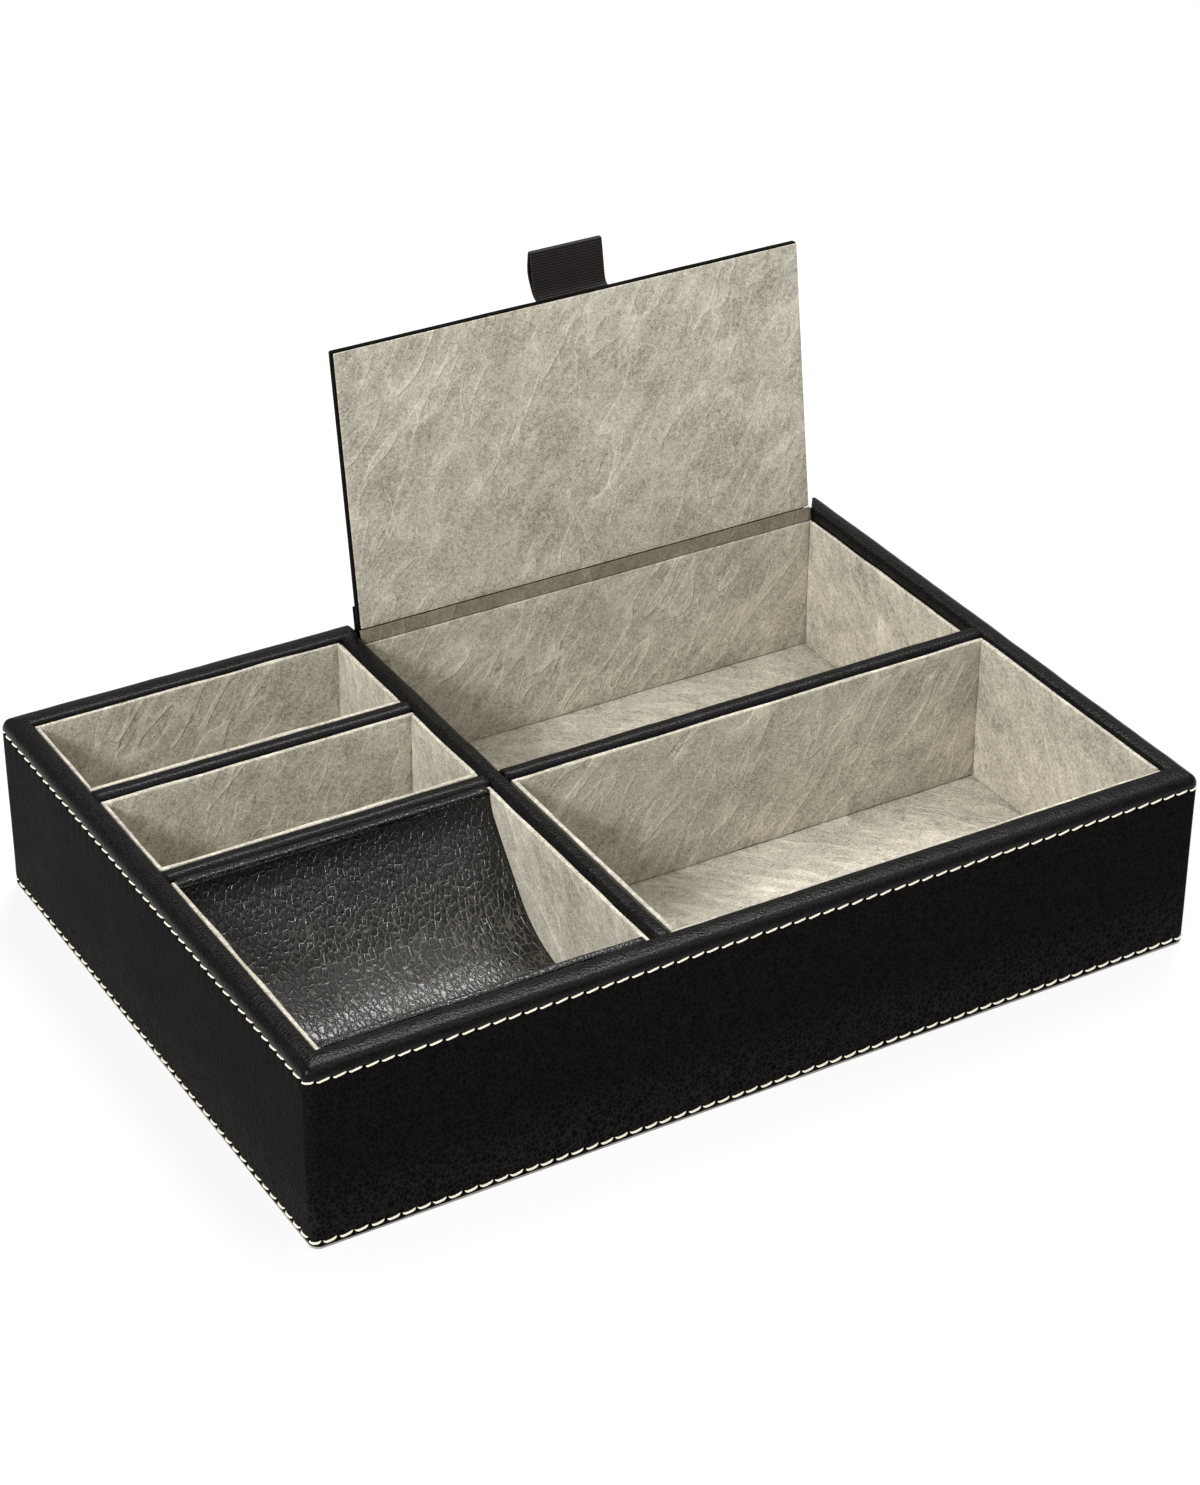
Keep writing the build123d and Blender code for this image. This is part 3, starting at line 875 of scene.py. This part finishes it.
def make_stitches(name, node_name, height_at, radius, droop):
    """A row of sewn stitches: short lengths of plied thread that dive into the needle holes."""
    along = np.linspace(-0.5, 0.5, stitch_rings)
    from_middle = np.abs(2 * along)
    around = np.linspace(0, math.tau, stitch_sides, endpoint=False)
    upward, outward = np.cos(around)[:, None] * np.array([0.0, 0.0, 1.0]), np.sin(around)[:, None]
    twist = (along * math.tau * thread_turns)[:, None]
    lobes = 1 + thread_lobe_share * np.cos(thread_plies * (around - twist))
    swell = radius * (1 - stitch_taper * from_middle**4)
    width = (swell[:, None] * lobes)[..., None]
    stand = stitch_rise - stitch_dive * from_middle**8
    sleeve = grid_faces(stitch_rings, stitch_sides, close_columns=True)
    last = (stitch_rings - 1) * stitch_sides
    points, faces = [], []
    draw = np.random.default_rng(11)
    for k in range(stitch_count):
        middle = k * pitch + draw.normal(0, shift_spread)
        height = height_at(middle % outline_length)
        if height is None:
            continue
        lift = draw.normal(0, lift_spread)
        slant = stitch_slant * (1 + draw.normal(0, slant_spread))
        base, outs = outline((middle + along * (pitch - stitch_gap)) % outline_length)
        rise = height + lift + along * slant + droop * (from_middle**2.2 - droop_level)
        centre = np.concatenate([base + outs * stand[:, None], rise[:, None]], axis=1)
        way = np.pad(outs, ((0, 0), (0, 1)))[:, None]
        rings = centre[:, None] + width * (upward + outward * way * thread_flatness)
        start = len(points) * stitch_rings * stitch_sides
        points.append(rings.reshape(-1, 3))
        faces += (sleeve + start).tolist()
        faces.append([start + v for v in range(stitch_sides)])
        faces.append([start + last + v for v in reversed(range(stitch_sides))])
    make_piece(name, np.concatenate(points), faces, thread, node_name)


def top_stitch_height(distance):
    """The height of the top row, and none where the row is broken at the ends of the step."""
    if min(abs(distance - step_start), abs(distance - step_end)) < pitch * stitch_break_share:
        return None
    return z_rim - top_thread_drop - (step_drop if in_step(distance) else 0.0)


def bottom_stitch_height(distance):
    return bottom_thread_rise


# Divider caps: leather folded over the top of each divider, with a low crown
def cap_section(half_width):
    """Half widths and heights across a cap, from one fold's lower edge to the other's."""
    side = [(half_width, z_rim - cap_fold_depth), (half_width, z_rim - cap_fold_start)]
    side += arc((half_width - cap_roll, z_rim - cap_roll), cap_roll, 0, 90, 9)
    side += [((half_width - cap_roll) * share, z_rim) for share in (0.75, 0.5, 0.25)]
    return np.array(side + [(0.0, z_rim)] + [(-x, z) for x, z in reversed(side)])


def make_cap(name, seed):
    """A cap that runs a little into its neighbours at both ends."""
    box = node_box(name)
    length_axis = int(np.argmax((box.high - box.low)[:2]))
    width_axis = 1 - length_axis
    middle = (box.low[width_axis] + box.high[width_axis]) / 2
    half_width = (box.high[width_axis] - box.low[width_axis]) / 2
    start = box.low[length_axis] - cap_reach
    length = box.high[length_axis] + cap_reach - start
    inner_runs = np.arange(cap_step, length - cap_end_room, cap_step)
    runs = np.concatenate([cap_end_places, inner_runs, length - cap_end_places[::-1]])
    section = cap_section(half_width)
    points, ways = run_along(section + (middle, 0), -path_normals(section), start + runs, length_axis)
    across = np.clip(section[:, 0] / half_width, -1, 1)
    crown = cap_crown * (np.cos(across * math.pi / 2) - crown_level) * (section[:, 1] > z_rim - cap_roll)
    from_end = np.minimum(runs, length - runs)
    shrink = cap_end_shrink * np.exp(-((from_end / cap_end_width) ** 2))
    stand = waviness(points, cap_waves, seed) + crown - shrink[:, None]
    points, faces = thick_sheet(points + ways * stand[..., None], ways, leather_thickness * cap_thinning)
    make_piece(name + "_leather", points, faces, rim_leather, name)


# Suede cards
def make_card(name, seed):
    """A card with rolled edges, whose waves stay inside its box."""
    box = node_box(name)
    points, faces, ways = rounded_box(box.low, box.high, card_roll, card_step)
    wave = waviness(points, card_waves, seed)
    points = points + ways * (wave - card_inset)[:, None]
    make_piece(name + "_suede", points, faces, suede, name)


# Coin scoop: leather over a bent card, its edges turned over the card at both lips
def scoop_path():
    """The trough's curve from its lowest point to the rear lip, as (y, z) from the middle."""
    angle = math.radians(scoop_flank_angle)
    sine, cosine = math.sin(angle), math.cos(angle)
    half_width = scoop_box.high[1] - scoop_middle - leather_thickness
    z_lip = scoop_box.high[2]
    shoulder, bottom = scoop_shoulder_radius, scoop_bottom_radius
    flank = (half_width - bottom * sine - shoulder * (1 - sine)) / cosine
    depth = shoulder * cosine + flank * sine + bottom * (1 - cosine)
    path = arc((0, z_lip - depth + bottom), bottom, -90, scoop_flank_angle - 90, 24)
    path += arc((half_width - shoulder, z_lip), shoulder, scoop_flank_angle - 90, 0, 16)[:-1]
    path.append((half_width, z_lip - lip_upright))
    z_top = z_lip + lip_gap + lip_leather
    path += arc((half_width + lip_roll, z_top - lip_roll), lip_roll, 180, 90, 6)
    path.append((half_width + leather_thickness + scoop_card_thickness, z_top))
    return path


def make_scoop():
    half = scoop_path()
    path = even_path([(-y, z) for y, z in reversed(half[1:])] + half, scoop_step)
    columns = np.linspace(scoop_box.low[0], scoop_box.high[0], scoop_columns)
    points, ways = run_along(path + (scoop_middle, 0), path_normals(path), columns, 0)
    points = points + ways * waviness(points, scoop_waves, seed=41)[..., None]
    at_lip = path[:, 1] > scoop_box.high[2] - lip_depth
    thickness = np.where(at_lip, lip_leather, leather_thickness * scoop_thinning)
    points, faces = thick_sheet(points, ways, thickness)
    make_piece("coin_scoop_hide", points, faces, scoop_leather, "coin_scoop_leather")


# Lid, modelled closed and turned open
def opened(points):
    return turned(points, -lid_turn)


def opened_point(y, z):
    return opened(np.array([0.0, y, z]))[1:]


def make_lid_cover():
    """Thin leather over the lid's outer face and edges, turned in by a fold's width below."""
    low, high = lid_cover_box.low, lid_cover_box.high
    points, faces, ways = rounded_box(low, high, lid_edge_roll, lid_step)
    open_low, open_high = low + lid_fold, high - lid_fold
    open_low[2], open_high[2] = low[2] - lid_edge_roll, low[2] + lid_edge_roll
    kept = []
    for face in faces:
        centre = points[face].mean(axis=0)
        if not ((centre > open_low) & (centre < open_high)).all():
            kept.append(face)
    back = np.clip(ways[:, 2], 0, 1)
    outside = points + ways * (waviness(points, lid_waves, seed=51) * back)[:, None]
    inside = points - ways * lid_leather
    count = len(points)
    edges = dict.fromkeys((a, b) for face in kept for a, b in zip(face, face[1:] + face[:1]))
    rim = [[b, a, a + count, b + count] for a, b in edges if (b, a) not in edges]
    shell = kept + [[v + count for v in reversed(face)] for face in kept] + rim
    used = sorted({v for face in shell for v in face})
    place = {v: i for i, v in enumerate(used)}
    points = opened(np.concatenate([outside, inside])[used])
    faces = [[place[v] for v in face] for face in shell]
    make_piece("lid_cover_leather", points, faces, leather, "lid_cover", "lid")


def make_lid_lining():
    """A suede card whose edges are pressed down round its face."""
    low, high = lid_lining_box.low, lid_lining_box.high
    points, faces, ways = rounded_box(low, high, lid_lining_roll, lid_lining_step)
    from_edge = np.minimum(points[:, :2] - low[:2], high[:2] - points[:, :2]).min(axis=1)
    border = lid_border_drop * np.clip(1 - from_edge / lid_border_width, 0, 1) ** 2
    front = np.clip(-ways[:, 2], 0, 1)
    stand = (waviness(points, lid_lining_waves, seed=61) - border) * front
    points = opened(points + ways * stand[:, None])
    make_piece("lid_lining_suede", points, faces, suede, "lid_lining", "lid")


# Ribbon tab
def tab_path():
    """The ribbon's way from under the lid's lining out, back over itself and in again.

    The corners are listed as distances out from the lid's front edge and heights.
    """
    low = lid_lining_box.low[2] + tab_tail_height + ribbon_thickness / 2
    front = lid_lining_box.low[2] + tab_front_height + ribbon_thickness / 2
    tip, drift, layer = tab_rise, front + tab_front_drift, ribbon_thickness
    back, upper = front + tab_bulge, low + layer * 1.1
    foot = -tab_ramp_back - tab_ramp_foot
    corners = [
        (-tab_tail_length, low),
        (foot, low),
        (-tab_ramp_back, low),
        (tab_ramp_length, front),
        (tip * 0.5, front + 0.1),
        (tip - 1.0, drift),
        (tip + 0.1, drift + 0.1),
        (tip + 0.05, drift + 1.3),
        (tip - 1.2, back - 0.6),
        (tip * 0.55, back + 0.5),
        (tip * 0.25, front + 1.7),
        (tab_ramp_length - layer, front + layer * 1.2),
        (-tab_ramp_back, upper),
        (foot, upper),
        (-tab_tail_length, upper),
    ]
    lid_front = lid_cover_box.low[1]
    return smooth_path([(lid_front - out, z) for out, z in corners], rib_pitch / rib_steps)


def make_pull_tab():
    """One folded ribbon with cross ribs and thin selvedges."""
    path = tab_path()
    inner = np.linspace(selvedge_end, ribbon_width - selvedge_end, 26)
    columns = np.concatenate([selvedge_places, inner, ribbon_width - selvedge_places[::-1]])
    columns = columns / ribbon_width * (tab_box.high[0] - tab_box.low[0])
    rib = rib_height * np.abs(np.sin(path_lengths(path) * math.pi / rib_pitch))
    edge = np.minimum(columns, columns[-1] - columns)
    thin = selvedge_depth * np.exp(-((edge / selvedge_width) ** 2))
    stand = rib[None, :] - thin[:, None]
    points, faces = sheet_along_x(path, tab_box.low[0] + columns, ribbon_thickness * ribbon_thinning, stand)
    piece = make_piece("pull_tab_ribbon", opened(points), faces, ribbon, "pull_tab", "lid")
    paint_shade_in_grooves(piece, len(columns) - 1, len(path) - 1)


def paint_shade_in_grooves(piece, rows, steps):
    """Paints shade into the grooves between the ribs of the ribbon, on both its faces, with a darker copy
    of the ribbon.
    """
    piece.data.materials.append(ribbon_groove_painted_shade)
    for face in piece.data.polygons[: 2 * rows * steps]:
        face.material_index = int(face.index % steps % rib_steps in (0, rib_steps - 1))


def make_hinge_leather():
    """A strip that lies on the rear wall's step, bends and runs up the lid's outer face."""
    lid_rear, lid_top = lid_cover_box.high[1], lid_cover_box.high[2]
    half = hinge_leather_thickness / 2
    heel = opened_point(lid_rear, lid_top + hinge_gap + half)
    head = opened_point(lid_rear - hinge_flap_length, lid_top + hinge_gap + half)
    foot_z = z_ledge + half
    slope = (head[0] - heel[0]) / (head[1] - heel[1])
    bend = np.array([heel[0] + slope * (foot_z - heel[1]), foot_z])
    rearward, up = np.array([1.0, 0.0]), unit(head - bend)
    corners = [
        (y_side - hinge_foot_end_inset, foot_z),
        bend + rearward * hinge_bend_start,
        bend + rearward * hinge_bend_rear,
        bend + up * hinge_bend_up,
        bend + up * hinge_bend_start,
        head,
    ]
    box = node_box("hinge_leather")
    columns = np.linspace(box.low[0], box.high[0], 120)
    thickness = hinge_leather_thickness * hinge_leather_thinning
    points, faces = sheet_along_x(smooth_path(corners, hinge_step), columns, thickness)
    points[:, 1] += waviness(points, hinge_leather_waves, seed=71)
    piece = make_piece("hinge_leather_strip", points, faces, leather, "hinge_leather", None)
    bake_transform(piece)


def make_hinge_band():
    """A narrow strip of suede between the rear lining and the lid's lower edge, darker partly by its own
    tone and partly by painted shade of the recess.
    """
    box = node_box("hinge_band")
    half = hinge_band_thickness / 2
    foot = (box.low[1] + half, box.low[2] + hinge_band_foot)
    lid_edge = opened_point(lid_cover_box.high[1], lid_lining_box.low[2] + hinge_band_inset + half)
    head = (lid_edge[0], box.high[2] + hinge_band_head)
    columns = np.linspace(box.low[0], box.high[0], 110)
    thickness = hinge_band_thickness * hinge_band_thinning
    points, faces = sheet_along_x(even_path([foot, head], hinge_step), columns, thickness)
    points[:, 1] += waviness(points, hinge_band_waves, seed=81)
    piece = make_piece("hinge_band_suede", points, faces, hinge_suede, "hinge_band", None)
    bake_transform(piece)


finish_construction()
make_outer_cover()
make_stitches("top_stitches", "top_thread", top_stitch_height, top_thread_radius, 0.0)
make_stitches("bottom_stitches", "bottom_thread", bottom_stitch_height, bottom_thread_radius, bottom_droop)
for cap_seed, divider in ((21, "centre"), (23, "watch"), (25, "coin"), (27, "note")):
    make_cap(f"{divider}_divider_cap", cap_seed)
card_names = ["coin_left_lining", "coin_right_lining"]
for room in ("cufflink", "note", "wallet", "watch"):
    card_names += [f"{room}_{side}_lining" for side in ("floor", "front", "rear", "left", "right")]
for card_seed, card_name in enumerate(card_names, 100):
    make_card(card_name, card_seed)
make_scoop()
make_lid_cover()
make_lid_lining()
make_pull_tab()
make_hinge_leather()
make_hinge_band()

# Stage, light and camera
floor_half = 3.0
floor_shade = (0.86, 0.86, 0.86, 1)
floor_white_share = 0.72
studio_strength = 0.42
lamp_aim = Vector((0, 0, 0.03))
camera_place = Vector((-0.4038, -0.6928, 0.5418))
camera_aim = Vector((0.0021, 0.0, 0.0516))
camera_roll = 0.22
camera_lens = 88.47
sensor_width = 36.0


def make_floor():
    """A white floor that the camera sees as nearly white, with the tray's shadow on it."""
    corners = [(x * floor_half, y * floor_half, 0) for x, y in ((-1, -1), (1, -1), (1, 1), (-1, 1))]
    mesh = bpy.data.meshes.new("floor")
    mesh.from_pydata(corners, [], [(0, 1, 2, 3)])
    floor = add_object("floor", mesh)
    material, tree, shader = new_material("floor_white", (0.9, 0.9, 0.9, 1))
    tree.nodes.remove(shader)
    lit = node(tree, "ShaderNodeBsdfDiffuse", {"Color": floor_shade})
    white = node(tree, "ShaderNodeEmission", {"Color": (1, 1, 1, 1), "Strength": 1.0})
    share = maths(tree, "MULTIPLY", seen_directly(tree), floor_white_share)
    mixed = node(tree, "ShaderNodeMixShader", {0: share, 1: lit.outputs[0], 2: white.outputs[0]})
    fill(tree, tree.nodes["Material Output"], {"Surface": mixed.outputs[0]})
    mesh.materials.append(material)


def seen_directly(tree):
    """One where a ray comes from the camera or from a glossy or clear surface."""
    path = node(tree, "ShaderNodeLightPath").outputs
    either = maths(tree, "MAXIMUM", path["Is Camera Ray"], path["Is Glossy Ray"])
    return maths(tree, "MAXIMUM", either, path["Is Transmission Ray"])


def make_world():
    """An even pale studio all round."""
    world = bpy.data.worlds.new("studio")
    bpy.context.scene.world = world
    world.use_nodes = True
    tree = world.node_tree
    tree.nodes.clear()
    background = node(tree, "ShaderNodeBackground", {"Color": (1, 1, 1, 1), "Strength": studio_strength})
    node(tree, "ShaderNodeOutputWorld", {"Surface": background.outputs[0]})


def make_lamp(name, place, width, height, power):
    """A soft rectangular lamp, aimed at the tray."""
    data = bpy.data.lights.new(name, "AREA")
    data.shape = "RECTANGLE"
    data.size, data.size_y = width, height
    data.energy = power
    lamp = add_object(name, data)
    lamp.location = place
    lamp.rotation_euler = (lamp_aim - Vector(place)).to_track_quat("-Z", "Y").to_euler()


def make_camera():
    """A camera where the photograph was taken from."""
    data = bpy.data.cameras.new("camera")
    data.lens, data.sensor_width = camera_lens, sensor_width
    data.clip_start, data.clip_end = 0.01, 20
    camera = add_object("camera", data)
    look = (camera_aim - camera_place).to_track_quat("-Z", "Y").to_matrix().to_4x4()
    roll_turn = Matrix.Rotation(math.radians(camera_roll), 4, "Z")
    camera.matrix_world = Matrix.Translation(camera_place) @ look @ roll_turn
    bpy.context.scene.camera = camera


make_floor()
make_world()
make_lamp("key", (-1.67, -0.62, 1.33), width=0.4, height=0.4, power=44.0)
make_lamp("rear", (0.34, 0.42, 1.05), width=0.6, height=0.25, power=9.0)
make_lamp("top", (0.5, -0.2, 1.1), width=1.7, height=0.8, power=6.0)
make_camera()
bpy.context.scene.view_settings.view_transform = "Standard"
